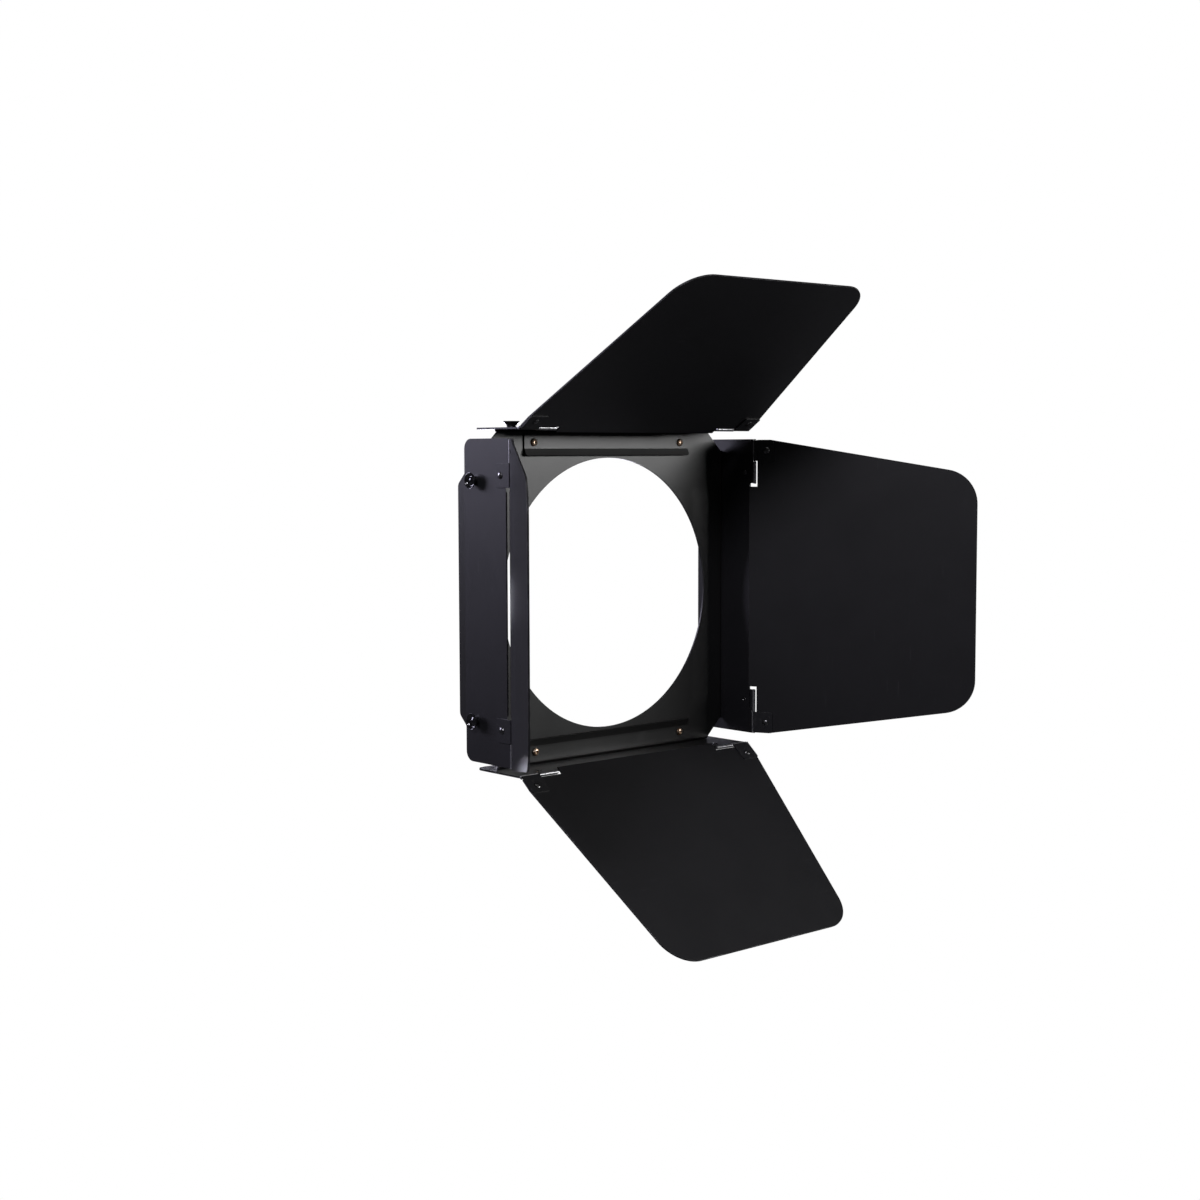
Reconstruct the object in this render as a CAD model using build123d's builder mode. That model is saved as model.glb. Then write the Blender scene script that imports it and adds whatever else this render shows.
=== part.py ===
from build123d import *
from math import cos, radians, sin, tan
import os

# Barn door attachment for the reflector of a studio flash head.
#
# Frame: millimetres, origin at the centre of the light opening on the back face of the hole plate,
# +Z up, -Y the way the light goes, +X to the right of someone who looks into the opening.
#
# The four sides are alike. Each piece of a side is drawn as for the top side, where X runs along the
# wall, Y runs back to the lamp and Z points outwards, and is then turned about Y to its own side.

# ---------------------------------------------------------------- sizes

sheet = 1.2                     # thickness of the plate, the walls, the rails and the doors
light_opening_radius = 97.5
box_half = 118.5                # light axis to the outer face of a wall

bend_inner_radius = 0.8         # where the plate turns back into its flanges
flange_half_length = 102.5      # at the bend, where the 45 degree ends start
flange_depth = 23.4             # how far the flanges reach behind the plate
flange_corner_radius = 5.0

wall_half_length = 111.0
wall_behind_plate = 14.6
wall_ahead_of_plate = 29.2
wall_corner_radius = 7.0
wall_ear_clearance = 0.35       # ear at each end of a wall's front edge to the door's knuckle
wall_ear_overlap = 2.0          # how far an ear reaches past the door's knuckle, along the wall

rail_half_length = 79.0
rail_bend_from_axis = 104.0     # height of the line where the lip starts
rail_flange_width = 10.4
rail_lip_width = 5.5
rail_lip_angle = 25.0           # between the lip and the plate
rail_lip_corner_radius = 1.5
rail_bend_radius = 0.6

rail_screw_x = 70.6
rail_screw_z = 108.6
rail_screw_radius = 1.5
rail_screw_head_radius = 2.85
rail_screw_head_height = 1.65
rail_screw_socket_radius = 1.15
rail_screw_socket_depth = 0.9
rail_screw_end = 0.8            # how far the shank stands out of its nut
rail_nut_across_flats = 5.5
rail_nut_height = 2.4
screw_hole_clearance = 0.2

thumbscrew_behind_plate = 3.1
thumbscrew_shank_radius = 1.5
thumbscrew_knob_radius = 5.6
thumbscrew_knob_height = 4.4
thumbscrew_neck_radius = 3.2
thumbscrew_neck_height = 0.7
thumbscrew_flare_bulge = 1.1    # how far the flare from neck to rim curves inwards
thumbscrew_rim_width = 0.5
thumbscrew_rim_height = 0.6
thumbscrew_dish_radius = 3.4
thumbscrew_dish_depth = 1.7
thumbscrew_boss_height = 1.1    # the domed middle above the floor of the dish
thumbscrew_end = 1.5            # how far the shank stands out of its nut
thumbscrew_turning_gap = 0.3    # knob to wall when the screw is set

clinch_nut_radius = 2.3
clinch_nut_height = 2.5
clinch_nut_pilot_radius = 2.1
clinch_nut_pilot_length = 1.0
thread_clearance = 0.05         # radial, for a screw that turns in its nut

hinge_ahead_of_wall = 4.35      # hinge axis to the front edge of its wall
hinge_inner_end = 78.0          # along the wall, from its middle
hinge_outer_end = 111.0
pin_radius = 0.6
pin_clearance = 0.05            # radial, in the knuckle that turns
pin_head_radius = 1.1
pin_head_height = 0.4
knuckle_gap = 0.3               # along the pin
leaf_thickness = 0.8
leaf_reach = 15.0               # hinge axis to the free edge of a leaf
leaf_corner_radius = 1.5
rivet_from_hinge = 9.5
rivet_shank_radius = 1.2
rivet_head_radius = 2.4
rivet_head_height = 0.9
rivet_tail_radius = 1.8
rivet_tail_height = 0.6

door_reach = 166.9              # hinge axis to the tip
door_half_width = 110.5
door_straight = 12.0            # hinge axis to where the sides start to taper
door_tip_half_width = 84.9
door_tip_radius = 25.0
door_tuck = 4.0                 # how far the middle of the root reaches behind the hinge axis
door_notch_inner_end = 75.5     # along the door, from its middle
door_notch_clearance = 0.8      # knuckle to the edge of the notch

# Thumbscrew to the middle of its wall.
thumbscrew_x = {"top": 86.0, "right": 82.5, "bottom": 86.0, "left": 82.5}

# How far each door is swung outwards from straight ahead, and where its side lies about Y.
rest_angle = {"top": 34.2, "right": 26.0, "bottom": 40.7, "left": 35.7}
side_turn = {"top": 0, "right": 90, "bottom": 180, "left": 270}

# Thumbscrew names along each side, from the -X end to the +X end of the side as drawn.
thumbscrew_places = {
    "top": ("left", "right"),
    "right": ("upper", "lower"),
    "bottom": ("right", "left"),
    "left": ("lower", "upper"),
}

# ---------------------------------------------------------------- what follows from them

knuckle_radius = sheet / 2 + leaf_thickness     # so that a leaf lies flat on its sheet

wall_inner = box_half - sheet
bend_outer_radius = bend_inner_radius + sheet
plate_flat_half = wall_inner - bend_outer_radius
flange_inner = wall_inner - sheet
plate_front = -sheet
rail_front = plate_front - sheet

wall_front = plate_front - wall_ahead_of_plate
hinge_y = wall_front - hinge_ahead_of_wall
wall_ear_front = hinge_y + knuckle_radius + wall_ear_clearance
hinge_z = box_half - sheet / 2
knuckle_length = (hinge_outer_end - hinge_inner_end - knuckle_gap) / 2
wall_knuckle_outer_end = hinge_inner_end + knuckle_length
door_knuckle_inner_end = wall_knuckle_outer_end + knuckle_gap
door_knuckle_outer_end = hinge_outer_end - pin_head_height - knuckle_gap
pin_start = hinge_inner_end
pin_end = hinge_outer_end - pin_head_height
wall_leaf_middle = (hinge_inner_end + wall_knuckle_outer_end) / 2
door_leaf_middle = (door_knuckle_inner_end + door_knuckle_outer_end) / 2
rivet_y = hinge_y + rivet_from_hinge
wall_ear_inner_end = door_knuckle_inner_end - wall_ear_overlap
door_notch_edge = knuckle_radius + door_notch_clearance

ENDS = (-1, 1)

os.makedirs("parts", exist_ok=True)


def write(piece, name, turn=0):
    """Turn a piece from the top side to its own side, label it and write its file."""
    with BuildPart() as placed:
        add(piece.part, rotation=(0, turn, 0))
    placed.part.label = name
    export_step(placed.part, f"parts/{name}.step")


def door_plane(side, lift):
    """A plane parallel to a door at rest, with its origin above the hinge axis by lift.

    Its x runs along the hinge, its y away from the hinge towards the tip, and its normal outwards.
    """
    swing = radians(rest_angle[side])
    outwards = Vector(0, sin(swing), cos(swing))
    along = Vector(-1, 0, 0)
    origin = Vector(0, hinge_y, hinge_z) + outwards * lift
    return Plane(origin=origin, x_dir=along, z_dir=outwards)


# ---------------------------------------------------------------- hole plate


def thumbscrew_centres(side):
    """Where the two thumbscrews of a side stand on its wall."""
    return [(end * thumbscrew_x[side], thumbscrew_behind_plate) for end in ENDS]


def flange_on(side):
    """One flange of the plate: the bend, then a trapezium with rounded corners."""
    with BuildPart() as flange:
        with BuildSketch(Plane.YZ):
            with Locations((bend_inner_radius, plate_flat_half)):
                Circle(bend_outer_radius)
                Circle(bend_inner_radius, mode=Mode.SUBTRACT)
                Rectangle(
                    bend_outer_radius, bend_outer_radius, align=(Align.MAX, Align.MIN), mode=Mode.INTERSECT
                )
        extrude(amount=flange_half_length, both=True)
        with BuildSketch(Plane.XY.offset(flange_inner)) as outline:
            rear_half_length = flange_half_length - (flange_depth - bend_inner_radius)
            Polygon(
                (-flange_half_length, bend_inner_radius),
                (flange_half_length, bend_inner_radius),
                (rear_half_length, flange_depth),
                (-rear_half_length, flange_depth),
                align=None,
            )
            fillet(outline.vertices().group_by(Axis.Y)[-1], flange_corner_radius)
            with Locations(*thumbscrew_centres(side)):
                Circle(clinch_nut_pilot_radius, mode=Mode.SUBTRACT)
        extrude(amount=sheet)
    return flange


with BuildPart() as hole_plate:
    with BuildSketch(Plane.XZ) as plate_outline:
        Rectangle(2 * plate_flat_half, 2 * plate_flat_half)
        chamfer(plate_outline.vertices(), plate_flat_half - flange_half_length)
        Circle(light_opening_radius, mode=Mode.SUBTRACT)
        with GridLocations(2 * rail_screw_x, 2 * rail_screw_z, 2, 2):
            Circle(rail_screw_radius + screw_hole_clearance, mode=Mode.SUBTRACT)
    extrude(amount=sheet)
    for side, turn in side_turn.items():
        add(flange_on(side).part, rotation=(0, turn, 0))

write(hole_plate, "hole_plate")

# ---------------------------------------------------------------- box walls


def wall_on(side):
    """The flat wall of a side, with an ear behind each door knuckle, and holes for thumbscrews and rivets."""
    with BuildPart() as wall:
        with BuildSketch(Plane.XY.offset(wall_inner)) as outline:
            Polygon(
                (-wall_half_length, wall_ear_front),
                (-wall_ear_inner_end, wall_ear_front),
                (-wall_ear_inner_end, wall_front),
                (wall_ear_inner_end, wall_front),
                (wall_ear_inner_end, wall_ear_front),
                (wall_half_length, wall_ear_front),
                (wall_half_length, wall_behind_plate),
                (-wall_half_length, wall_behind_plate),
                align=None,
            )
            fillet(outline.vertices().group_by(Axis.Y)[-1], wall_corner_radius)
            with Locations(*thumbscrew_centres(side)):
                Circle(thumbscrew_shank_radius + screw_hole_clearance, mode=Mode.SUBTRACT)
            with Locations(*[(end * wall_leaf_middle, rivet_y) for end in ENDS]):
                Circle(rivet_shank_radius, mode=Mode.SUBTRACT)
        extrude(amount=sheet)
    return wall


for side, turn in side_turn.items():
    write(wall_on(side), f"wall_{side}", turn)

# ---------------------------------------------------------------- filter rails

# The rail lies flat on the plate, then its lip leans forward, so that a filter sheet slips in behind it.
lean = radians(rail_lip_angle)
lip_edge_y = plate_front - rail_lip_width * sin(lean)
lip_edge_z = rail_bend_from_axis - rail_lip_width * cos(lean)
front_bend_z = rail_bend_from_axis + sheet * tan(lean / 2)
rail_top_z = rail_bend_from_axis + rail_flange_width

with BuildPart() as filter_rail:
    with BuildSketch(Plane.YZ) as rail_profile:
        Polygon(
            (plate_front, rail_top_z),
            (plate_front, rail_bend_from_axis),
            (lip_edge_y, lip_edge_z),
            (lip_edge_y - sheet * cos(lean), lip_edge_z + sheet * sin(lean)),
            (rail_front, front_bend_z),
            (rail_front, rail_top_z),
            align=None,
        )
        back_bend = rail_profile.vertices().sort_by_distance((plate_front, rail_bend_from_axis))[0]
        fillet(back_bend, rail_bend_radius + sheet)
        front_bend = rail_profile.vertices().sort_by_distance((rail_front, front_bend_z))[0]
        fillet(front_bend, rail_bend_radius)
    extrude(amount=rail_half_length, both=True)
    short_edges = filter_rail.edges().filter_by(lambda edge: edge.length < 1.01 * sheet)
    fillet(short_edges.group_by(Axis.Z)[0], rail_lip_corner_radius)
    with Locations(*[Plane(origin=(end * rail_screw_x, rail_front, rail_screw_z), z_dir=(0, -1, 0))
                     for end in ENDS]):
        Hole(rail_screw_radius + screw_hole_clearance, depth=sheet)

write(filter_rail, "filter_rail_top", side_turn["top"])
write(filter_rail, "filter_rail_bottom", side_turn["bottom"])

# A button-head screw with a hexagon socket, and its nut on the back of the plate.
with BuildPart() as rail_screws:
    for x in (-rail_screw_x, rail_screw_x):
        for z in (-rail_screw_z, rail_screw_z):
            with BuildSketch(Plane(origin=(x, rail_front, z), z_dir=(0, -1, 0))):
                Circle(rail_screw_head_radius)
            extrude(amount=rail_screw_head_height)
            with BuildSketch(Plane(origin=(x, rail_front, z), z_dir=(0, 1, 0))):
                Circle(rail_screw_radius)
            extrude(amount=2 * sheet + rail_nut_height + rail_screw_end)
            with BuildSketch(Plane(origin=(x, rail_front - rail_screw_head_height, z), z_dir=(0, 1, 0))):
                RegularPolygon(rail_screw_socket_radius, 6)
            extrude(amount=rail_screw_socket_depth, mode=Mode.SUBTRACT)
    head_rims = rail_screws.edges().filter_by(GeomType.CIRCLE).group_by(Axis.Y)[0]
    fillet(head_rims, rail_screw_head_height * 0.7)

write(rail_screws, "rail_screws")

with BuildPart() as rail_nuts:
    for x in (-rail_screw_x, rail_screw_x):
        for z in (-rail_screw_z, rail_screw_z):
            with BuildSketch(Plane(origin=(x, 0, z), z_dir=(0, 1, 0))):
                RegularPolygon(rail_nut_across_flats / 2, 6, major_radius=False)
                Circle(rail_screw_radius, mode=Mode.SUBTRACT)
            extrude(amount=rail_nut_height)

write(rail_nuts, "rail_nuts")

# ---------------------------------------------------------------- thumbscrews and their clinch nuts

# A nut sits on the inner face of the flange, with its pilot pressed into the flange's hole.
def nuts_on(side):
    """The two clinch nuts of a side."""
    with BuildPart() as nuts:
        with BuildSketch(Plane.XY.offset(flange_inner)):
            with Locations(*thumbscrew_centres(side)):
                Circle(clinch_nut_radius)
        extrude(amount=-clinch_nut_height)
        with BuildSketch(Plane.XY.offset(flange_inner)):
            with Locations(*thumbscrew_centres(side)):
                Circle(clinch_nut_pilot_radius)
        extrude(amount=clinch_nut_pilot_length)
        with BuildSketch(Plane.XY.offset(flange_inner - clinch_nut_height)):
            with Locations(*thumbscrew_centres(side)):
                Circle(thumbscrew_shank_radius + thread_clearance)
        extrude(amount=clinch_nut_height + clinch_nut_pilot_length, mode=Mode.SUBTRACT)
    return nuts


with BuildPart() as clinch_nuts:
    for side, turn in side_turn.items():
        add(nuts_on(side).part, rotation=(0, turn, 0))

write(clinch_nuts, "clinch_nuts")

shank_length = thumbscrew_turning_gap + 2 * sheet + clinch_nut_height + thumbscrew_end
rim_bottom = thumbscrew_knob_height - thumbscrew_rim_height
dish_floor = thumbscrew_knob_height - thumbscrew_dish_depth
boss_top = dish_floor + thumbscrew_boss_height


def thumbscrew_on(side, end):
    """The thumbscrew at one end of a wall: a thin shank and a flared, dished knob, turned in one piece.

    The half section is drawn with its x outwards from the screw's axis and its y up from the knob's
    underside.
    """
    underside = Vector(end * thumbscrew_x[side], thumbscrew_behind_plate, box_half + thumbscrew_turning_gap)
    half_section = Plane(origin=underside, x_dir=(1, 0, 0), z_dir=(0, -1, 0))
    neck_top = (thumbscrew_neck_radius, thumbscrew_neck_height)
    rim_outside = (thumbscrew_knob_radius, rim_bottom)
    halfway = (
        (thumbscrew_neck_radius + thumbscrew_knob_radius - thumbscrew_flare_bulge) / 2,
        (thumbscrew_neck_height + rim_bottom + thumbscrew_flare_bulge) / 2,
    )
    with BuildPart() as thumbscrew:
        with BuildSketch(half_section):
            with BuildLine():
                Polyline(
                    (0, boss_top),
                    (0, -shank_length),
                    (thumbscrew_shank_radius, -shank_length),
                    (thumbscrew_shank_radius, 0),
                    (thumbscrew_neck_radius, 0),
                    neck_top,
                )
                ThreePointArc(neck_top, halfway, rim_outside)
                Polyline(
                    rim_outside,
                    (thumbscrew_knob_radius, thumbscrew_knob_height),
                    (thumbscrew_knob_radius - thumbscrew_rim_width, thumbscrew_knob_height),
                    (thumbscrew_dish_radius, dish_floor),
                )
                boss_sphere_radius = (thumbscrew_dish_radius**2 + thumbscrew_boss_height**2) / (
                    2 * thumbscrew_boss_height
                )
                RadiusArc((thumbscrew_dish_radius, dish_floor), (0, boss_top), -boss_sphere_radius)
            make_face()
        revolve(axis=Axis(underside, (0, 0, 1)))
    return thumbscrew


for side, turn in side_turn.items():
    for end, place in zip(ENDS, thumbscrew_places[side]):
        write(thumbscrew_on(side, end), f"thumbscrew_{side}_{place}", turn)

# ---------------------------------------------------------------- hinges, the half on the wall


def hinge_leaves(plane, inner_end, outer_end, bore_radius, leaf_side, hole_at):
    """Two leaves with their knuckles, one at each end of a side.

    The plane holds the hinge axis as its x, and its y is the way the leaf lies. leaf_side is 1 where
    the leaf is tangent to the knuckle on the side of the plane's normal, and -1 on the other.
    """
    with BuildPart() as leaves:
        for end in ENDS:
            start = min(end * inner_end, end * outer_end)
            length = outer_end - inner_end
            knuckle_plane = Plane(
                origin=plane.from_local_coords((start, 0, 0)), x_dir=plane.y_dir, z_dir=plane.x_dir
            )
            with BuildSketch(knuckle_plane):
                Circle(knuckle_radius)
            extrude(amount=length)
            leaf_plane = plane.offset(leaf_side * (knuckle_radius - leaf_thickness))
            with BuildSketch(leaf_plane) as leaf_outline:
                with Locations((start, 0)):
                    Rectangle(length, leaf_reach, align=(Align.MIN, Align.MIN))
                fillet(leaf_outline.vertices().group_by(Axis.Y)[-1], leaf_corner_radius)
                with Locations((start + length / 2, hole_at)):
                    Circle(rivet_shank_radius, mode=Mode.SUBTRACT)
            extrude(amount=leaf_side * leaf_thickness)
            with BuildSketch(knuckle_plane):
                Circle(bore_radius)
            extrude(amount=length, mode=Mode.SUBTRACT)
    return leaves


# Seen from outside the top wall: x along the hinge, y back over the wall, normal outwards.
wall_leaf_plane = Plane(origin=(0, hinge_y, hinge_z), x_dir=(1, 0, 0), z_dir=(0, 0, 1))
wall_hinge_leaves = hinge_leaves(
    wall_leaf_plane, hinge_inner_end, wall_knuckle_outer_end, pin_radius, 1, rivet_from_hinge
)

with BuildPart() as hinge_pins:
    for end in ENDS:
        pin_plane = Plane(origin=(0, hinge_y, hinge_z), x_dir=(0, 1, 0), z_dir=(end, 0, 0))
        with BuildSketch(pin_plane.offset(pin_start)):
            Circle(pin_radius)
        extrude(amount=pin_end - pin_start)
        with BuildSketch(pin_plane.offset(pin_start)):
            Circle(pin_head_radius)
        extrude(amount=-pin_head_height)
        with BuildSketch(pin_plane.offset(pin_end)):
            Circle(pin_head_radius)
        extrude(amount=pin_head_height)


def rivets(plane, positions, leaf_top, sheet_bottom):
    """Domed rivets normal to a plane: the dome stands on leaf_top and the tail is below sheet_bottom."""
    with BuildPart() as pair:
        for x, y in positions:
            section = Plane(origin=plane.from_local_coords((x, y, 0)), x_dir=plane.x_dir, z_dir=-plane.y_dir)
            dome_top = leaf_top + rivet_head_height
            with BuildSketch(section):
                with BuildLine():
                    Polyline(
                        (0, dome_top),
                        (0, sheet_bottom - rivet_tail_height),
                        (rivet_tail_radius, sheet_bottom - rivet_tail_height),
                        (rivet_tail_radius, sheet_bottom),
                        (rivet_shank_radius, sheet_bottom),
                        (rivet_shank_radius, leaf_top),
                        (rivet_head_radius, leaf_top),
                    )
                    dome_radius = (rivet_head_radius ** 2 + rivet_head_height ** 2) / (2 * rivet_head_height)
                    RadiusArc((rivet_head_radius, leaf_top), (0, dome_top), -dome_radius)
                make_face()
            revolve(axis=Axis(section.origin, plane.z_dir))
    return pair


wall_rivets = rivets(
    wall_leaf_plane,
    [(end * wall_leaf_middle, rivet_from_hinge) for end in ENDS],
    knuckle_radius,
    -sheet / 2,
)

for side, turn in side_turn.items():
    write(wall_hinge_leaves, f"wall_hinge_leaves_{side}", turn)
    write(hinge_pins, f"hinge_pins_{side}", turn)
    write(wall_rivets, f"wall_rivets_{side}", turn)

# ---------------------------------------------------------------- doors


def door_on(side):
    """The flat leaf of a door, notched where the hinges are."""
    with BuildPart() as door:
        with BuildSketch(door_plane(side, -sheet / 2)) as outline:
            Polygon(
                (-door_half_width, -door_tuck),
                (door_half_width, -door_tuck),
                (door_half_width, door_straight),
                (door_tip_half_width, door_reach),
                (-door_tip_half_width, door_reach),
                (-door_half_width, door_straight),
                align=None,
            )
            fillet(outline.vertices().group_by(Axis.Y)[-1], door_tip_radius)
            notch_length = door_half_width - door_notch_inner_end
            notch_depth = door_tuck + door_notch_edge
            for end in ENDS:
                with Locations((end * (door_notch_inner_end + notch_length / 2), -door_tuck)):
                    Rectangle(notch_length, notch_depth, align=(Align.CENTER, Align.MIN), mode=Mode.SUBTRACT)
            with Locations(*[(end * door_leaf_middle, rivet_from_hinge) for end in ENDS]):
                Circle(rivet_shank_radius, mode=Mode.SUBTRACT)
        extrude(amount=sheet)
    return door


for side, turn in side_turn.items():
    write(door_on(side), f"door_{side}", turn)
    door_hinge_leaves = hinge_leaves(
        door_plane(side, 0),
        door_knuckle_inner_end,
        door_knuckle_outer_end,
        pin_radius + pin_clearance,
        -1,
        rivet_from_hinge,
    )
    write(door_hinge_leaves, f"door_hinge_leaves_{side}", turn)
    inside_face = door_plane(side, 0)
    inside_plane = Plane(origin=inside_face.origin, x_dir=-inside_face.x_dir, z_dir=-inside_face.z_dir)
    door_rivets = rivets(
        inside_plane,
        [(end * door_leaf_middle, rivet_from_hinge) for end in ENDS],
        knuckle_radius,
        -sheet / 2,
    )
    write(door_rivets, f"door_rivets_{side}", turn)
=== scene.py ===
import math

import bpy
from mathutils import Matrix, Vector


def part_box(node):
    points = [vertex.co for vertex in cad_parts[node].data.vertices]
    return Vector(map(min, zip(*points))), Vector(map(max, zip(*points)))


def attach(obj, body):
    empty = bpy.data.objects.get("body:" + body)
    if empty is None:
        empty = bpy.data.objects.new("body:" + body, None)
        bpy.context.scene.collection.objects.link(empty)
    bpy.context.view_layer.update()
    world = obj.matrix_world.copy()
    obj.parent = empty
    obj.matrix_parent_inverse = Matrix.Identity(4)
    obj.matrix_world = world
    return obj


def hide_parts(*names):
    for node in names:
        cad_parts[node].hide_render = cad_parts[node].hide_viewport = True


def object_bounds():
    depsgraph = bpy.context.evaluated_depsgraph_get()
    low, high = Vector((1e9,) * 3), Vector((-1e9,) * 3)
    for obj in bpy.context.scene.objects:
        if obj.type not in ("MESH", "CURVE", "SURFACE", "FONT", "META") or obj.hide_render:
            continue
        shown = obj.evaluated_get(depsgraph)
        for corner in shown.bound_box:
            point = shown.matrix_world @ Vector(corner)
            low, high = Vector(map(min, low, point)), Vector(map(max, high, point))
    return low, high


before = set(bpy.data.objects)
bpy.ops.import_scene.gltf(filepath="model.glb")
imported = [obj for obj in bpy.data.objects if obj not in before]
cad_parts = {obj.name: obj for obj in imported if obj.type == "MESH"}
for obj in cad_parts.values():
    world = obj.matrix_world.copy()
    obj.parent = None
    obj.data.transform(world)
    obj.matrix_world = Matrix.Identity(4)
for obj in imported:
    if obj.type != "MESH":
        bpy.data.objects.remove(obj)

cad_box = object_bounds()

# ---------------------------------------------------------------------------
# Camera: in front of the left side of the box, at about the height of its top wall,
# looking into the light opening from 42 degrees round.
camera_spot = Vector((-0.9012, -0.9979, 0.1019))
camera_azimuth, camera_elevation, camera_roll = (math.radians(angle) for angle in (-41.86, 4.56, -0.15))
camera_lens = 55.78

towards_camera = Vector((
    math.sin(camera_azimuth) * math.cos(camera_elevation),
    -math.cos(camera_azimuth) * math.cos(camera_elevation),
    math.sin(camera_elevation),
))
camera_data = bpy.data.cameras.new("camera")
camera_data.lens = camera_lens
camera_data.sensor_width = 36
camera = bpy.data.objects.new("camera", camera_data)
bpy.context.scene.collection.objects.link(camera)
camera.rotation_mode = "QUATERNION"
upright = (-towards_camera).to_track_quat("-Z", "Y")
camera.rotation_quaternion = upright @ Matrix.Rotation(camera_roll, 3, "Z").to_quaternion()
camera.location = camera_spot
bpy.context.scene.camera = camera

# ---------------------------------------------------------------------------
# Studio: a white surround, a pale paper floor well below the object, and broad soft
# lights. Black sheet metal shows mostly what it reflects, so the lights hold the
# brightness that a dim studio has, while the surround itself is seen as plain white.
floor_drop = 0.6                 # floor to the lowest point of the object
floor_width = 8
floor_shade = 0.12               # of the floor as the object sees it
surround_brightness = 0.02


class Value:
    """A number, colour or direction that varies over a surface, as the output socket of a node."""

    def __init__(self, shader, socket):
        self.shader = shader
        self.socket = socket

    def maths(self, operation, first, second):
        return self.shader.node("ShaderNodeMath", {"operation": operation}, {0: first, 1: second})

    def __add__(self, other):
        return self.maths("ADD", self, other)

    def __radd__(self, other):
        return self.maths("ADD", other, self)

    def __sub__(self, other):
        return self.maths("SUBTRACT", self, other)

    def __rsub__(self, other):
        return self.maths("SUBTRACT", other, self)

    def __mul__(self, other):
        return self.maths("MULTIPLY", self, other)

    def __rmul__(self, other):
        return self.maths("MULTIPLY", other, self)


class Shader:
    """A node tree that is built up node by node."""

    def __init__(self, tree):
        self.tree = tree

    def node(self, kind, settings=None, values=None, output=0):
        """Add a node: its settings first, then the values or links of its sockets."""
        made = self.tree.nodes.new(kind)
        for name, setting in (settings or {}).items():
            if name == "stops":
                while len(made.color_ramp.elements) < len(setting):
                    made.color_ramp.elements.new(0.5)
                for element, (place, grey) in zip(made.color_ramp.elements, setting):
                    element.position = place
                    element.color = (grey, grey, grey, 1)
            else:
                setattr(made, name, setting)
        for name, value in (values or {}).items():
            if isinstance(value, Value):
                self.tree.links.new(value.socket, made.inputs[name])
            else:
                made.inputs[name].default_value = value
        return Value(self, made.outputs[output]) if made.outputs else None

    def seen_white(self, kind, dim):
        """White to the camera and a dimmer surface to everything that it lights."""
        seen = self.node("ShaderNodeLightPath")
        white = self.node(kind, {}, {"Color": (1, 1, 1, 1), "Strength": 1.0})
        return self.node("ShaderNodeMixShader", {}, {0: seen, 1: dim, 2: white})


surround = bpy.data.worlds.new("white_surround")
bpy.context.scene.world = surround
surround.use_nodes = True
surround.node_tree.nodes.clear()
sky = Shader(surround.node_tree)
dim_sky = sky.node("ShaderNodeBackground", {}, {"Strength": surround_brightness})
sky.node("ShaderNodeOutputWorld", {}, {"Surface": sky.seen_white("ShaderNodeBackground", dim_sky)})
bpy.context.scene.view_settings.view_transform = "Standard"

bpy.ops.object.select_all(action="DESELECT")
bpy.ops.mesh.primitive_plane_add(size=floor_width, location=(0, 0, cad_box[0].z - floor_drop))
floor = bpy.context.object
floor.name = "floor"
floor_paper = bpy.data.materials.new("floor_paper")
floor_paper.use_nodes = True
floor_paper.node_tree.nodes.clear()
paper = Shader(floor_paper.node_tree)
dull_paper = paper.node("ShaderNodeBsdfDiffuse", {}, {"Color": (floor_shade, floor_shade, floor_shade, 1)})
paper.node("ShaderNodeOutputMaterial", {}, {"Surface": paper.seen_white("ShaderNodeEmission", dull_paper)})
floor.data.materials.append(floor_paper)


def soft_light(name, spot, size, power, colour=(1, 1, 1)):
    """A flat softbox at spot that faces the object."""
    lamp = bpy.data.lights.new(name, "AREA")
    lamp.shape = "RECTANGLE"
    lamp.size, lamp.size_y = size
    lamp.energy = power
    lamp.color = colour
    light = bpy.data.objects.new(name, lamp)
    bpy.context.scene.collection.objects.link(light)
    light.rotation_mode = "QUATERNION"
    light.location = spot
    light.rotation_quaternion = (-Vector(spot)).to_track_quat("-Z", "Y")


soft_light("front_right_softbox", (1.45, -1.9, 0.52), (0.9, 0.6), 32)
soft_light("front_left_softbox", (-1.9, -0.95, 1.25), (0.45, 0.45), 24, (0.92, 0.90, 1.0))
soft_light("back_left_softbox", (-1.0, 1.8, 0.6), (0.9, 0.7), 21, (0.80, 0.77, 1.0))
soft_light("back_right_softbox", (1.6, 2.2, -0.35), (1.0, 0.8), 34, (0.86, 0.84, 1.0))
soft_light("overhead_softbox", (0.2, -0.3, 2.2), (1.6, 1.6), 7)

# ---------------------------------------------------------------------------
# Hole plate: one sheet with the round light opening, its four edges bent back into flanges.
# The sheet is cut and punched, folded in a press, deburred and sprayed satin black.
mm = 0.001
sheet_edge = 0.16 * mm           # how far deburring rounds a cut edge
plate_black = (0.018, 0.018, 0.018)
worn_plate = (0.075, 0.073, 0.070)


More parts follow.
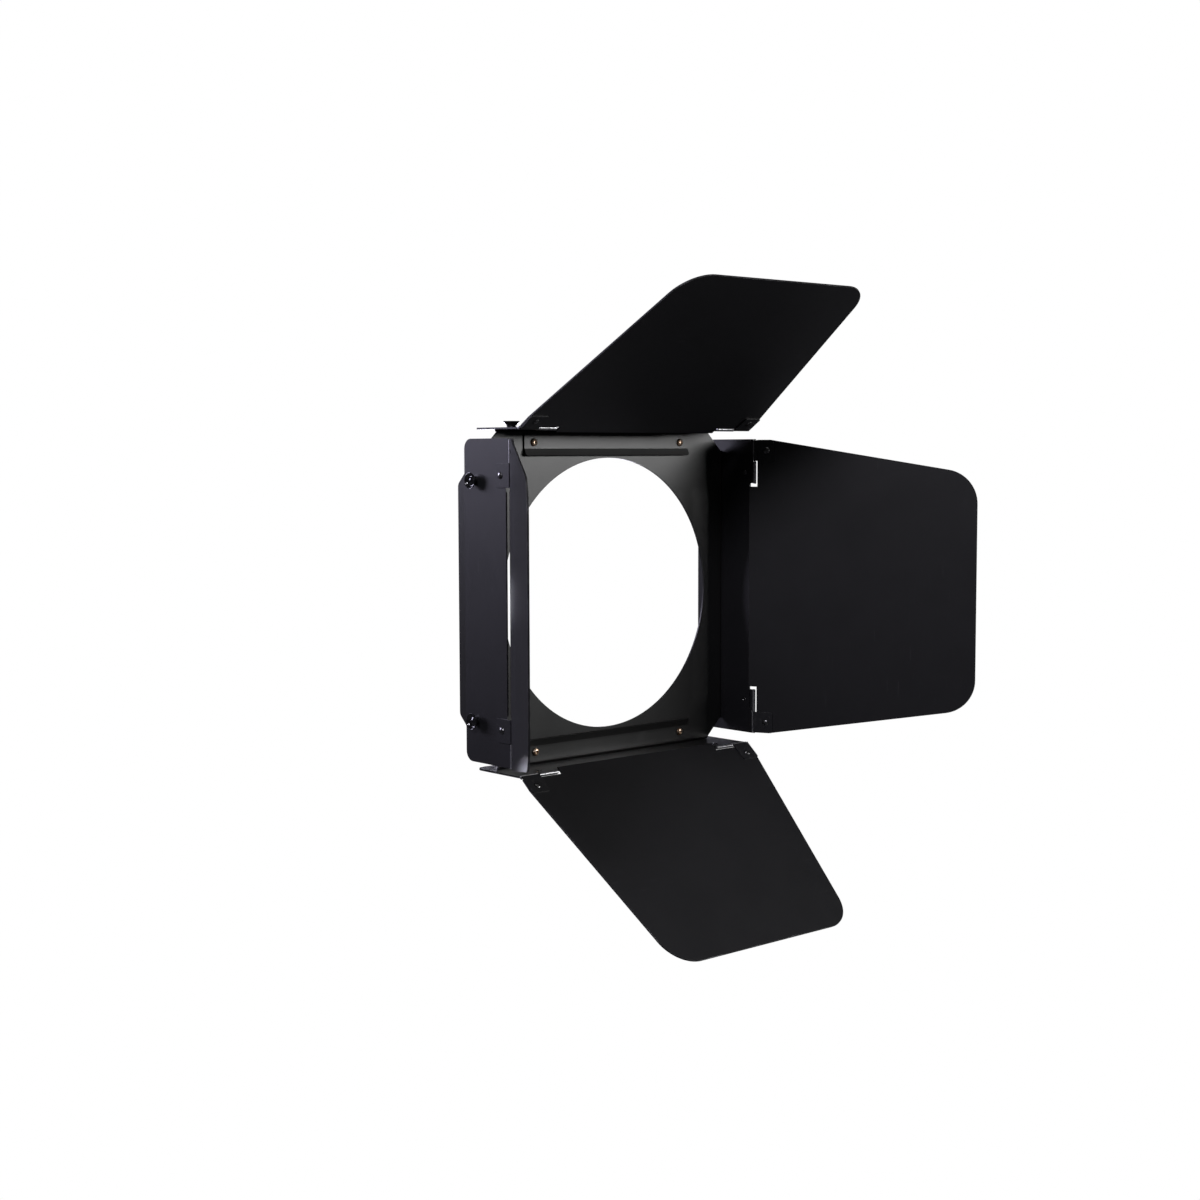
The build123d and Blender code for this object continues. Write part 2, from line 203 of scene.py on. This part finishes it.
class Finish(Shader):
    """The material of a piece: a Principled surface and the patterns that feed it."""

    def __init__(self, name, **constants):
        self.material = bpy.data.materials.new(name)
        self.material.use_nodes = True
        self.material.node_tree.nodes.clear()
        super().__init__(self.material.node_tree)
        self.constants = constants

    def place(self, stretch=(1, 1, 1)):
        """Object coordinates in metres, stretched along each axis."""
        spot = self.node("ShaderNodeTexCoord", output=3)
        return self.node("ShaderNodeMapping", {}, {"Vector": spot, "Scale": stretch})

    def noise(self, size, detail=3.0, stretch=(1, 1, 1)):
        """Cloudy noise from 0 to 1, whose blobs are about size metres across."""
        return self.node(
            "ShaderNodeTexNoise", {}, {"Vector": self.place(stretch), "Scale": 1 / size, "Detail": detail}
        )

    def between(self, low, high, value):
        """0 where the value is below low and 1 where it is above high, with a ramp between them."""
        return self.node("ShaderNodeValToRGB", {"stops": ((low, 0.0), (high, 1.0))}, {"Fac": value})

    def blend(self, share, first, second):
        """A mix of two colours."""
        values = {0: share, 6: first, 7: second}
        for socket in (6, 7):
            if not isinstance(values[socket], Value):
                values[socket] = (*values[socket], 1)
        return self.node("ShaderNodeMix", {"data_type": "RGBA"}, values, output=2)

    def bumps(self, height, strength, depth):
        """A normal tipped by a height pattern that is depth metres deep."""
        return self.node("ShaderNodeBump", {}, {"Height": height, "Strength": strength, "Distance": depth})

    def done(self, colour, roughness, normal, **varying):
        values = {"Base Color": colour, "Roughness": roughness, "Normal": normal}
        values.update(self.constants, **varying)
        surface = self.node("ShaderNodeBsdfPrincipled", {}, values)
        self.node("ShaderNodeOutputMaterial", {}, {"Surface": surface})
        return self.material


def black_coat(name, black, faded, roughness, grain_size, grain_depth):
    """A sprayed black coat: fine grain, soft handling marks, a few hair scratches and dust."""
    coat = Finish(name, **{"Specular IOR Level": 0.5})
    grain = coat.noise(grain_size, detail=2)
    cloud = coat.noise(0.045, detail=5)
    hair = coat.between(0.70, 0.74, coat.noise(0.0011, detail=1, stretch=(0.05, 1, 0.06)))
    marks = coat.between(0.55, 0.78, cloud)
    dust = coat.between(0.74, 0.80, coat.noise(0.0008, detail=1))
    colour = coat.blend(cloud, tuple(0.8 * part for part in black), black)
    colour = coat.blend(hair * marks * 0.5 + dust * 0.25, colour, faded)
    rough = grain * 0.08 + cloud * 0.10 - marks * 0.06 + hair * 0.05 + (roughness - 0.09)
    return coat.done(colour, rough, coat.bumps(grain + hair * 0.3, 0.35, grain_depth))


def worn_and_highlit_edge(name, black, bare_and_highlight):
    """The coat on a cut edge, worn thin in places so that the metal shows a little, and lightened as a
    painted edge highlight.
    """
    coat = Finish(name)
    patches = coat.between(0.48, 0.70, coat.noise(0.012, detail=6))
    colour = coat.blend(patches, black, bare_and_highlight)
    grain = coat.noise(0.0005, detail=2)
    rough = patches * -0.12 + 0.5
    return coat.done(colour, rough, coat.bumps(grain, 0.3, 0.03 * mm), Metallic=patches * 0.4)


satin_black = black_coat("satin_black_paint", plate_black, worn_plate, 0.36, 0.8 * mm, 0.035 * mm)
# The edge coat's lighter patches are partly worn paint and partly a painted edge highlight.
satin_black_edge = worn_and_highlit_edge("satin_black_paint_edge", plate_black, (0.20, 0.20, 0.20))


def in_hand(piece):
    """Make a piece the only one selected, and the active one."""
    bpy.ops.object.select_all(action="DESELECT")
    piece.select_set(True)
    bpy.context.view_layer.objects.active = piece


def fit(piece, node, body):
    """Let a finished piece take the place of a CAD node."""
    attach(piece, body)
    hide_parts(node)


def folded_sheet(node, body, coat, edge_coat):
    """A sheet piece with the shape of its CAD node, its cut edges deburred and its finish sprayed on."""
    piece = bpy.data.objects.new(node + "_sheet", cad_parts[node].data.copy())
    bpy.context.scene.collection.objects.link(piece)
    piece.data.materials.clear()
    piece.data.materials.append(coat)
    piece.data.materials.append(edge_coat)
    in_hand(piece)
    bpy.ops.object.mode_set(mode="EDIT")
    bpy.ops.mesh.select_all(action="SELECT")
    bpy.ops.mesh.remove_doubles(threshold=0.000002)
    bpy.ops.mesh.dissolve_limited(angle_limit=math.radians(0.5))
    bpy.ops.object.mode_set(mode="OBJECT")
    bpy.ops.object.shade_smooth_by_angle(angle=math.radians(30))
    edges = piece.modifiers.new("deburred", "BEVEL")
    edges.width = sheet_edge
    edges.segments = 2
    edges.limit_method = "ANGLE"
    edges.angle_limit = math.radians(40)
    edges.harden_normals = True
    # The rounded edges take the edge coat, whose lighter patches are partly wear and partly a painted edge
    # highlight.
    edges.material = 1
    bpy.ops.object.modifier_apply(modifier=edges.name)
    fit(piece, node, body)


folded_sheet("hole_plate", "box", satin_black, satin_black_edge)

# ---------------------------------------------------------------------------
# Filter rails: two folded strips above and below the opening. Each lies flat on the plate
# and its lip leans forward, so that a filter sheet slips in behind. Same sheet, same paint.
folded_sheet("filter_rail_top", "box", satin_black, satin_black_edge)
folded_sheet("filter_rail_bottom", "box", satin_black, satin_black_edge)

# ---------------------------------------------------------------------------
# Rail screws: four button-head brass machine screws with a hexagon socket, one at each end
# of each rail, run through the rail and the plate into a nut behind.
screw_radius = 1.5 * mm
thread_depth = 0.22 * mm
thread_pitch = 0.5 * mm
button_radius = 2.85 * mm
button_height = 1.65 * mm
socket_radius = 1.0 * mm         # to the middle of a flat
socket_depth = 0.9 * mm
face_lift = 0.01 * mm            # keeps two faces that touch from lying in one plane
smooth_below = math.radians(32)  # faces that meet at a smaller angle are shaded as one


def pick(piece, chosen):
    """Go into edit mode with just the vertices selected whose place the test accepts."""
    bpy.ops.object.mode_set(mode="EDIT")
    bpy.ops.mesh.select_mode(type="VERT")
    bpy.ops.mesh.select_all(action="DESELECT")
    bpy.ops.object.mode_set(mode="OBJECT")
    for vertex in piece.data.vertices:
        vertex.select = chosen(vertex.co)
    bpy.ops.object.mode_set(mode="EDIT")


def turned(name, rings, corners=24):
    """A solid turned about Z. It starts as a disc, which is drawn out ring by ring.

    Each ring is (radius, height), and the first and the last are closed by flat faces.
    """
    radius, height = rings[0]
    bpy.ops.object.select_all(action="DESELECT")
    bpy.ops.mesh.primitive_circle_add(
        vertices=corners, radius=radius, fill_type="NGON", location=(0, 0, height)
    )
    piece = bpy.context.object
    piece.name = name
    bpy.ops.object.transform_apply(location=True, rotation=True, scale=True)
    bpy.ops.object.mode_set(mode="EDIT")
    bpy.ops.mesh.select_all(action="SELECT")
    for next_radius, next_height in rings[1:]:
        bpy.ops.mesh.extrude_region_move(TRANSFORM_OT_translate={"value": (0, 0, next_height - height)})
        growth = next_radius / radius
        bpy.ops.transform.resize(value=(growth, growth, 1), center_override=(0, 0, next_height))
        radius, height = next_radius, next_height
    bpy.ops.mesh.select_all(action="SELECT")
    bpy.ops.mesh.normals_make_consistent(inside=False)
    bpy.ops.object.mode_set(mode="OBJECT")
    return piece


def threads(radius, low, high):
    """The rings of a screw thread between two heights."""
    rings = []
    height = low
    while height + thread_pitch < high:
        rings.append((radius, height + 0.1 * thread_pitch))
        rings.append((radius - thread_depth, height + 0.5 * thread_pitch))
        rings.append((radius, height + 0.9 * thread_pitch))
        height += thread_pitch
    return rings


def flats(piece, near, far, low, high):
    """Square six flats onto the rings of a 24-cornered piece between two radii and two heights."""
    for turn, stretch in ((0, 1 / math.cos(math.radians(30))), (15, 1 / math.cos(math.radians(15)))):
        pick(piece, lambda spot: (
            near < spot.xy.length < far and low < spot.z < high
            and abs((math.degrees(math.atan2(spot.y, spot.x)) + 30) % 60 - 30) > turn - 1
            and abs((math.degrees(math.atan2(spot.y, spot.x)) + 30) % 60 - 30) < turn + 1
        ))
        bpy.ops.transform.resize(value=(stretch, stretch, 1), center_override=(0, 0, 0))
        bpy.ops.object.mode_set(mode="OBJECT")


def set_out(pattern, name, places, *materials):
    """One piece made of a copy of the pattern at each place."""
    copies = []
    for place in places:
        copy = bpy.data.objects.new(name, pattern.data.copy())
        for material in materials:
            copy.data.materials.append(material)
        copy.data.transform(place)
        bpy.context.scene.collection.objects.link(copy)
        copies.append(copy)
    in_hand(copies[0])
    for copy in copies:
        copy.select_set(True)
    if len(copies) > 1:
        bpy.ops.object.join()
    bpy.ops.object.shade_smooth_by_angle(angle=smooth_below)
    return copies[0]


def metal(name, bright, dull, roughness, grain_size, **constants):
    """Bare or plated metal: a clouded tarnish, fine tool marks and a little grime."""
    finish = Finish(name, Metallic=1.0, **constants)
    tarnish = finish.between(0.40, 0.66, finish.noise(grain_size * 4, detail=5))
    marks = finish.noise(grain_size * 0.4, detail=3, stretch=(1, 1, 3))
    colour = finish.blend(tarnish, bright, dull)
    rough = tarnish * 0.18 + marks * 0.10 + (roughness - 0.08)
    return finish.done(colour, rough, finish.bumps(marks, 0.3, 0.02 * mm))


brass = metal("brass", (0.95, 0.76, 0.58), (0.52, 0.30, 0.17), 0.30, 0.5 * mm)

screws_low, screws_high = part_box("rail_screws")
screw_end = -(screws_high.y - screws_low.y) + button_height
button_screw = turned("button_screw", [
    (screw_radius - thread_depth, screw_end),
    (screw_radius, screw_end + 0.3 * mm),
    *threads(screw_radius, screw_end + 0.4 * mm, -0.2 * mm),
    (screw_radius, -0.1 * mm),
    (screw_radius, 0.02 * mm),
    (button_radius - 0.12 * mm, 0.02 * mm),
    (button_radius, 0.14 * mm),
    (button_radius, 0.42 * mm),
    (button_radius - 0.16 * mm, 0.80 * mm),
    (button_radius - 0.52 * mm, 1.16 * mm),
    (button_radius - 0.98 * mm, 1.45 * mm),
    (socket_radius + 0.42 * mm, button_height - 0.03 * mm),
    (socket_radius + 0.30 * mm, button_height),
    (socket_radius, button_height - 0.12 * mm),
    (socket_radius, button_height - socket_depth),
])
flats(button_screw, socket_radius - face_lift, socket_radius + face_lift, 0.5 * mm, button_height)
facing_forward = Matrix.Rotation(math.radians(90), 4, "X")
uneven_turn = 41                 # degrees from one socket to the next, as hand-driven screws stop
rail_screw_spots = [
    (side * (screws_high.x - button_radius), end * (screws_high.z - button_radius))
    for side in (-1, 1) for end in (-1, 1)
]
rail_screws = set_out(
    button_screw,
    "rail_screws_brass",
    [
        Matrix.Translation((x, screws_low.y + button_height, z)) @ facing_forward
        @ Matrix.Rotation(math.radians(uneven_turn * turn), 4, "Z")
        for turn, (x, z) in enumerate(rail_screw_spots)
    ],
    brass,
)
fit(rail_screws, "rail_screws", "box")

# ---------------------------------------------------------------------------
# Rail nuts: four plain hexagon nuts on the back of the plate, chamfered on the corners of
# both faces and zinc plated.
nut_flat = 2.75 * mm             # axis to a flat
nut_bore = 1.55 * mm

zinc = metal("zinc_plate", (0.62, 0.63, 0.65), (0.34, 0.34, 0.35), 0.34, 0.6 * mm)


def bored(piece):
    """Open the two closing faces of a turned piece and join them by a hole."""
    in_hand(piece)
    bpy.ops.object.mode_set(mode="EDIT")
    bpy.ops.mesh.select_mode(type="FACE")
    bpy.ops.mesh.select_all(action="DESELECT")
    bpy.ops.mesh.select_face_by_sides(number=4, type="GREATER")
    bpy.ops.mesh.delete(type="ONLY_FACE")
    bpy.ops.mesh.select_mode(type="EDGE")
    bpy.ops.mesh.select_all(action="DESELECT")
    bpy.ops.mesh.select_non_manifold()
    bpy.ops.mesh.bridge_edge_loops()
    bpy.ops.mesh.select_all(action="SELECT")
    bpy.ops.mesh.normals_make_consistent(inside=False)
    bpy.ops.object.mode_set(mode="OBJECT")


nuts_low, nuts_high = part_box("rail_nuts")
nut_height = nuts_high.y - nuts_low.y
hexagon_nut = turned("hexagon_nut", [
    (nut_bore, 0.25 * mm),
    (nut_bore + 0.25 * mm, 0),
    (nut_flat - 0.05 * mm, 0),
    (nut_flat, 0.22 * mm),
    (nut_flat, nut_height - 0.22 * mm),
    (nut_flat - 0.05 * mm, nut_height),
    (nut_bore + 0.25 * mm, nut_height),
    (nut_bore, nut_height - 0.25 * mm),
])
flats(hexagon_nut, nut_flat - face_lift, nut_flat + face_lift, 0.1 * mm, nut_height - 0.1 * mm)
bored(hexagon_nut)
facing_back = Matrix.Rotation(math.radians(-90), 4, "X")
rail_nuts = set_out(
    hexagon_nut,
    "rail_nuts_zinc",
    [Matrix.Translation((x, nuts_low.y, z)) @ facing_back for x, z in rail_screw_spots],
    zinc,
)
fit(rail_nuts, "rail_nuts", "box")

# ---------------------------------------------------------------------------
# Box walls: four flat strips around the plate's flanges, each with two thumbscrews and two
# hinges. Sheet aluminium, sheared, punched and powder coated black.
wall_black = (0.012, 0.0118, 0.0135)
worn_wall = (0.050, 0.049, 0.051)
sides = {"top": 0, "right": 90, "bottom": 180, "left": 270}

powder_coat = black_coat("black_powder_coat", wall_black, worn_wall, 0.42, 1.0 * mm, 0.05 * mm)
# The edge coat's lighter patches are partly worn paint and partly a painted edge highlight.
powder_coat_edge = worn_and_highlit_edge("black_powder_coat_edge", wall_black, (0.22, 0.22, 0.23))

for side in sides:
    folded_sheet("wall_" + side, "box", powder_coat, powder_coat_edge)

# ---------------------------------------------------------------------------
# Clinch nuts: eight round press-in nuts in the flanges, with a knurled shoulder that bites
# into the sheet. Zinc-plated steel, held by the metal squeezed around them.
clinch_radius = 2.3 * mm
clinch_height = 2.5 * mm
clinch_bore = 1.55 * mm
pilot_radius = 2.1 * mm          # the part of the nut that is pressed into the sheet
pilot_length = 0.98 * mm
knurl_count = 24
knurl_depth = 0.045              # share of the radius
box_half = 118.5 * mm            # light axis to the outer face of a wall
flange_inner = 116.1 * mm        # light axis to the inner face of a flange

clinch_nut = turned("clinch_nut", [
    (clinch_bore, -clinch_height + 0.3 * mm),
    (clinch_bore + 0.3 * mm, -clinch_height),
    (clinch_radius - 0.25 * mm, -clinch_height),
    (clinch_radius, -clinch_height + 0.25 * mm),
    (clinch_radius, -0.9 * mm),
    (clinch_radius - 0.2 * mm, -0.75 * mm),
    (clinch_radius - 0.2 * mm, -0.6 * mm),
    (clinch_radius, -0.5 * mm),
    (clinch_radius, -0.02 * mm),
    (pilot_radius, -0.02 * mm),
    (pilot_radius, pilot_length),
    (clinch_bore, pilot_length),
], corners=2 * knurl_count)
bored(clinch_nut)
pick(clinch_nut, lambda spot: (
    spot.xy.length > clinch_radius - 0.02 * mm and spot.z > -0.55 * mm
    and round(math.degrees(math.atan2(spot.y, spot.x)) * knurl_count / 180) % 2 == 0
))
bpy.ops.transform.resize(value=(1 - knurl_depth, 1 - knurl_depth, 1), center_override=(0, 0, 0))
bpy.ops.object.mode_set(mode="OBJECT")

screw_nodes = sorted(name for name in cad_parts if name.startswith("thumbscrew_"))
side_of = {name: name.split("_")[1] for name in screw_nodes}


def outwards(side):
    """The turn from the top side, where outwards is up, to another side."""
    return Matrix.Rotation(math.radians(sides[side]), 4, "Y")


def screw_axis(node, distance):
    """A place on a thumbscrew's axis, at a distance from the light axis."""
    low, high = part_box(node)
    local = outwards(side_of[node]).inverted() @ ((low + high) / 2)
    return outwards(side_of[node]) @ Matrix.Translation((local.x, local.y, distance))


clinch_nuts = set_out(
    clinch_nut, "clinch_nuts_zinc", [screw_axis(name, flange_inner) for name in screw_nodes], zinc
)
fit(clinch_nuts, "clinch_nuts", "box")

# ---------------------------------------------------------------------------
# Thumbscrews: eight screws that hold the box together. The knob flares from a thin neck to
# a fine-toothed rim and its face is dished round a domed boss. Turned, and finished gloss black.
knob_radius = 5.6 * mm
knob_height = 4.4 * mm
knob_teeth = 48
tooth_depth = 0.03               # share of the radius
shank_length = 6.7 * mm
turning_gap = 0.3 * mm           # knob to wall
knob_turn = 37                   # degrees from one knob to the next, so that no two stand alike

knob = turned("thumbscrew", [
    (screw_radius - 0.35 * mm, -shank_length),
    (screw_radius, -shank_length + 0.35 * mm),
    *threads(screw_radius, -shank_length + 0.4 * mm, -0.1 * mm),
    (screw_radius, -0.05 * mm),
    (screw_radius, 0.01 * mm),
    (3.05 * mm, 0.01 * mm),
    (3.2 * mm, 0.15 * mm),
    (3.2 * mm, 0.62 * mm),
    (3.28 * mm, 0.95 * mm),
    (3.46 * mm, 1.40 * mm),
    (3.74 * mm, 1.90 * mm),
    (4.12 * mm, 2.42 * mm),
    (4.60 * mm, 2.92 * mm),
    (5.14 * mm, 3.38 * mm),
    (5.46 * mm, 3.64 * mm),
    (knob_radius, 3.84 * mm),
    (knob_radius, 4.22 * mm),
    (5.52 * mm, 4.35 * mm),
    (5.36 * mm, knob_height),
    (5.16 * mm, 4.36 * mm),
    (4.98 * mm, 4.20 * mm),
    (4.62 * mm, 3.74 * mm),
    (4.20 * mm, 3.28 * mm),
    (3.80 * mm, 2.92 * mm),
    (3.40 * mm, 2.76 * mm),
    (2.95 * mm, 2.78 * mm),
    (2.50 * mm, 2.98 * mm),
    (1.95 * mm, 3.30 * mm),
    (1.30 * mm, 3.60 * mm),
    (0.65 * mm, 3.76 * mm),
    (0.20 * mm, 3.79 * mm),
], corners=2 * knob_teeth)
pick(knob, lambda spot: (
    spot.xy.length > knob_radius - 0.02 * mm
    and round(math.degrees(math.atan2(spot.y, spot.x)) * knob_teeth / 180) % 2 == 0
))
bpy.ops.transform.resize(value=(1 - tooth_depth, 1 - tooth_depth, 1), center_override=(0, 0, 0))
bpy.ops.object.mode_set(mode="OBJECT")

gloss_finish = Finish("gloss_black_enamel", **{"Coat Weight": 0.6, "Coat Roughness": 0.08})
gloss_cloud = gloss_finish.noise(3 * mm, detail=4)
gloss_rub = gloss_finish.between(0.56, 0.74, gloss_finish.noise(1.2 * mm, detail=6))
gloss_black = gloss_finish.done(
    gloss_finish.blend(gloss_rub, (0.008, 0.008, 0.009), (0.030, 0.029, 0.030)),
    gloss_cloud * 0.10 + gloss_rub * 0.12 + 0.12,
    gloss_finish.bumps(gloss_finish.noise(0.5 * mm, detail=2), 0.12, 0.02 * mm),
)

for turn, name in enumerate(screw_nodes):
    spin = Matrix.Rotation(math.radians(knob_turn * turn), 4, "Z")
    screw = set_out(
        knob, name + "_turned", [screw_axis(name, box_half + turning_gap) @ spin], gloss_black
    )
    fit(screw, name, name)

# ---------------------------------------------------------------------------
# Doors: four flat tapered leaves with rounded tips, notched beside the hinges. The same
# sheet aluminium as the walls, with the same black powder coat on both faces.
for side in sides:
    folded_sheet("door_" + side, "door_" + side, powder_coat, powder_coat_edge)

# ---------------------------------------------------------------------------
# Hinge leaves: steel strip rolled into a knuckle at one end, with a seam where the roll meets
# the leaf. The free corners are clipped round. Blackened; the knuckle is coloured lighter,
# partly worn steel and partly a painted sheen where the roll catches the light.
hinge_forward = 34.75 * mm
hinge_out = 117.9 * mm
knuckle_radius = 1.4 * mm
leaf_thickness = 0.8 * mm
leaf_reach = 15 * mm
wall_knuckle = (78 * mm, 94.35 * mm)
door_knuckle = (94.65 * mm, 110.3 * mm)
leaf_corner = 1.5 * mm
rim_round = 0.08 * mm
roll_angle = 288                 # degrees that the strip is rolled round the pin
swing = {"top": 34.2, "right": 26.0, "bottom": 40.7, "left": 35.7}   # outwards from straight ahead


def hinge_metal(name, black, rubbed_and_sheen, cover, metallic):
    """Black-finished strip: cover is the share that the black still hides."""
    finish = Finish(name)
    rub = finish.between(cover, cover + 0.28, finish.noise(2.2 * mm, detail=6))
    grain = finish.noise(0.35 * mm, detail=3)
    return finish.done(
        finish.blend(rub, black, rubbed_and_sheen),
        rub * -0.06 + grain * 0.10 + 0.38,
        finish.bumps(grain, 0.3, 0.02 * mm),
        Metallic=rub * 0.25 + metallic,
    )


leaf_black = hinge_metal("blackened_leaf_steel", (0.014, 0.014, 0.016), (0.060, 0.060, 0.062), 0.56, 0.1)
# Both knuckle colours are lighter than the leaf's: partly worn steel and partly a painted sheen where the
# round knuckle catches the light.
knuckle_steel_and_sheen = hinge_metal("worn_knuckle_steel_painted_sheen", (0.16, 0.16, 0.165), (0.42, 0.42, 0.43), 0.34, 0.7)


def rolled_leaf(name, length):
    """A hinge leaf: X along the pin, which is at the origin, and Y towards its free edge."""
    bpy.ops.object.select_all(action="DESELECT")
    leaf_middle = knuckle_radius - leaf_thickness / 2
    bpy.ops.mesh.primitive_cube_add(size=1, location=(0, leaf_reach / 2, leaf_middle))
    leaf = bpy.context.object
    leaf.name = name
    leaf.scale = (length, leaf_reach, leaf_thickness)
    bpy.ops.object.transform_apply(location=True, rotation=True, scale=True)
    pick(leaf, lambda spot: spot.y < face_lift)
    bpy.ops.mesh.select_mode(type="FACE")
    bpy.ops.mesh.spin(
        steps=22, angle=math.radians(roll_angle), center=(0, 0, 0), axis=(1, 0, 0), use_auto_merge=False
    )
    bpy.ops.mesh.select_all(action="SELECT")
    bpy.ops.mesh.normals_make_consistent(inside=False)
    bpy.ops.object.mode_set(mode="OBJECT")
    corners = []
    for edge in leaf.data.edges:
        start, end = (leaf.data.vertices[vertex].co for vertex in edge.vertices)
        at_free_end = min(start.y, end.y) > leaf_reach - face_lift
        if at_free_end and abs(start.z - end.z) > leaf_thickness / 2:
            corners.append(edge.index)
    bpy.ops.object.mode_set(mode="EDIT")
    bpy.ops.mesh.select_mode(type="EDGE")
    bpy.ops.mesh.select_all(action="DESELECT")
    bpy.ops.object.mode_set(mode="OBJECT")
    for index in corners:
        leaf.data.edges[index].select = True
    bpy.ops.object.mode_set(mode="EDIT")
    bpy.ops.mesh.bevel(offset=leaf_corner, segments=5, affect="EDGES")
    bpy.ops.object.mode_set(mode="OBJECT")
    bpy.ops.object.shade_smooth_by_angle(angle=smooth_below)
    rims = leaf.modifiers.new("rims", "BEVEL")
    rims.width = rim_round
    rims.segments = 2
    rims.limit_method = "ANGLE"
    rims.angle_limit = math.radians(50)
    rims.harden_normals = True
    bpy.ops.object.modifier_apply(modifier=rims.name)
    leaf.data.materials.append(leaf_black)
    leaf.data.materials.append(knuckle_steel_and_sheen)
    # The rolled knuckle takes the lighter steel, which carries a painted sheen as well as wear.
    for face in leaf.data.polygons:
        rolled = face.center.y < 0.05 * mm or face.center.z < knuckle_radius - 1.05 * leaf_thickness
        face.material_index = 1 if rolled else 0
    return leaf


def wall_hinge_spot(side, along):
    """A place on a side's hinge axis, where Y points back along the wall and Z outwards."""
    return outwards(side) @ Matrix.Translation((along, -hinge_forward, hinge_out))


def door_hinge_spot(side, along):
    """A place on a side's hinge axis, where Y points along the door to its tip and Z inwards."""
    return wall_hinge_spot(side, along) @ Matrix.Rotation(math.radians(180 - swing[side]), 4, "X")


wall_leaf = rolled_leaf("wall_leaf", wall_knuckle[1] - wall_knuckle[0])
door_leaf = rolled_leaf("door_leaf", door_knuckle[1] - door_knuckle[0])
wall_leaf_middle = sum(wall_knuckle) / 2
door_leaf_middle = sum(door_knuckle) / 2
for side in sides:
    on_wall = set_out(
        wall_leaf,
        f"wall_hinge_leaves_{side}_rolled",
        [wall_hinge_spot(side, end * wall_leaf_middle) for end in (-1, 1)],
    )
    fit(on_wall, f"wall_hinge_leaves_{side}", "box")
    on_door = set_out(
        door_leaf,
        f"door_hinge_leaves_{side}_rolled",
        [door_hinge_spot(side, end * door_leaf_middle) for end in (-1, 1)],
    )
    fit(on_door, f"door_hinge_leaves_{side}", "door_" + side)

# ---------------------------------------------------------------------------
# Hinge pins: short pieces of steel wire, one through each pair of knuckles, peened over at
# both ends so that they can't drift out.
pin_radius = 0.58 * mm
pin_head_radius = 1.1 * mm
pin_head_height = 0.4 * mm

pin_steel = metal("pin_steel", (0.50, 0.50, 0.51), (0.24, 0.24, 0.24), 0.32, 0.5 * mm)
pins_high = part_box("hinge_pins_top")[1].x
pin_length = pins_high - wall_knuckle[0] + pin_head_height
hinge_pin = turned("hinge_pin", [
    (0.30 * mm, 0.02 * mm),
    (0.85 * mm, 0.06 * mm),
    (pin_head_radius, 0.22 * mm),
    (pin_head_radius - 0.05 * mm, pin_head_height),
    (pin_radius, pin_head_height),
    (pin_radius, pin_length - pin_head_height),
    (pin_head_radius - 0.05 * mm, pin_length - pin_head_height),
    (pin_head_radius, pin_length - 0.22 * mm),
    (0.85 * mm, pin_length - 0.06 * mm),
    (0.30 * mm, pin_length - 0.02 * mm),
])
for side in sides:
    pins = set_out(
        hinge_pin,
        f"hinge_pins_{side}_peened",
        [
            wall_hinge_spot(side, end * (wall_knuckle[0] - pin_head_height))
            @ Matrix.Rotation(math.radians(90 * end), 4, "Y")
            for end in (-1, 1)
        ],
        pin_steel,
    )
    fit(pins, f"hinge_pins_{side}", "box")

# ---------------------------------------------------------------------------
# Rivets: domed steel rivets through leaf and sheet, one to each leaf, with the tail rolled
# over on the far face of the sheet. Bright where the snap has pressed the dome.
rivet_from_hinge = 9.5 * mm
rivet_shank = 1.2 * mm
rivet_head = 2.4 * mm
rivet_head_height = 0.9 * mm
rivet_tail = 1.8 * mm
rivet_tail_height = 0.6 * mm
sheet = 1.2 * mm

rivet_steel = metal("rivet_steel", (0.26, 0.26, 0.26), (0.07, 0.07, 0.072), 0.26, 0.5 * mm)
tail_end = -sheet / 2 - rivet_tail_height
rivet = turned("rivet", [
    (0.45 * mm, tail_end + 0.45 * mm),
    (0.60 * mm, tail_end + 0.15 * mm),
    (0.80 * mm, tail_end + 0.01 * mm),
    (1.20 * mm, tail_end),
    (1.60 * mm, tail_end + 0.12 * mm),
    (rivet_tail, tail_end + 0.36 * mm),
    (rivet_tail - 0.06 * mm, -sheet / 2 - face_lift),
    (rivet_shank, -sheet / 2 - face_lift),
    (rivet_shank, knuckle_radius + face_lift),
    (rivet_head - 0.06 * mm, knuckle_radius + face_lift),
    (rivet_head, knuckle_radius + 0.12 * mm),
    (2.26 * mm, knuckle_radius + 0.30 * mm),
    (1.94 * mm, knuckle_radius + 0.52 * mm),
    (1.46 * mm, knuckle_radius + 0.71 * mm),
    (0.88 * mm, knuckle_radius + 0.84 * mm),
    (0.34 * mm, knuckle_radius + rivet_head_height),
])
through = Matrix.Translation((0, rivet_from_hinge, 0))
for side in sides:
    on_wall = set_out(
        rivet,
        f"wall_rivets_{side}_domed",
        [wall_hinge_spot(side, end * wall_leaf_middle) @ through for end in (-1, 1)],
        rivet_steel,
    )
    fit(on_wall, f"wall_rivets_{side}", "box")
    on_door = set_out(
        rivet,
        f"door_rivets_{side}_domed",
        [door_hinge_spot(side, end * door_leaf_middle) @ through for end in (-1, 1)],
        rivet_steel,
    )
    fit(on_door, f"door_rivets_{side}", "door_" + side)

# The patterns that the copies were taken from are put away.
for pattern in (button_screw, hexagon_nut, clinch_nut, knob, wall_leaf, door_leaf, hinge_pin, rivet):
    bpy.data.objects.remove(pattern)
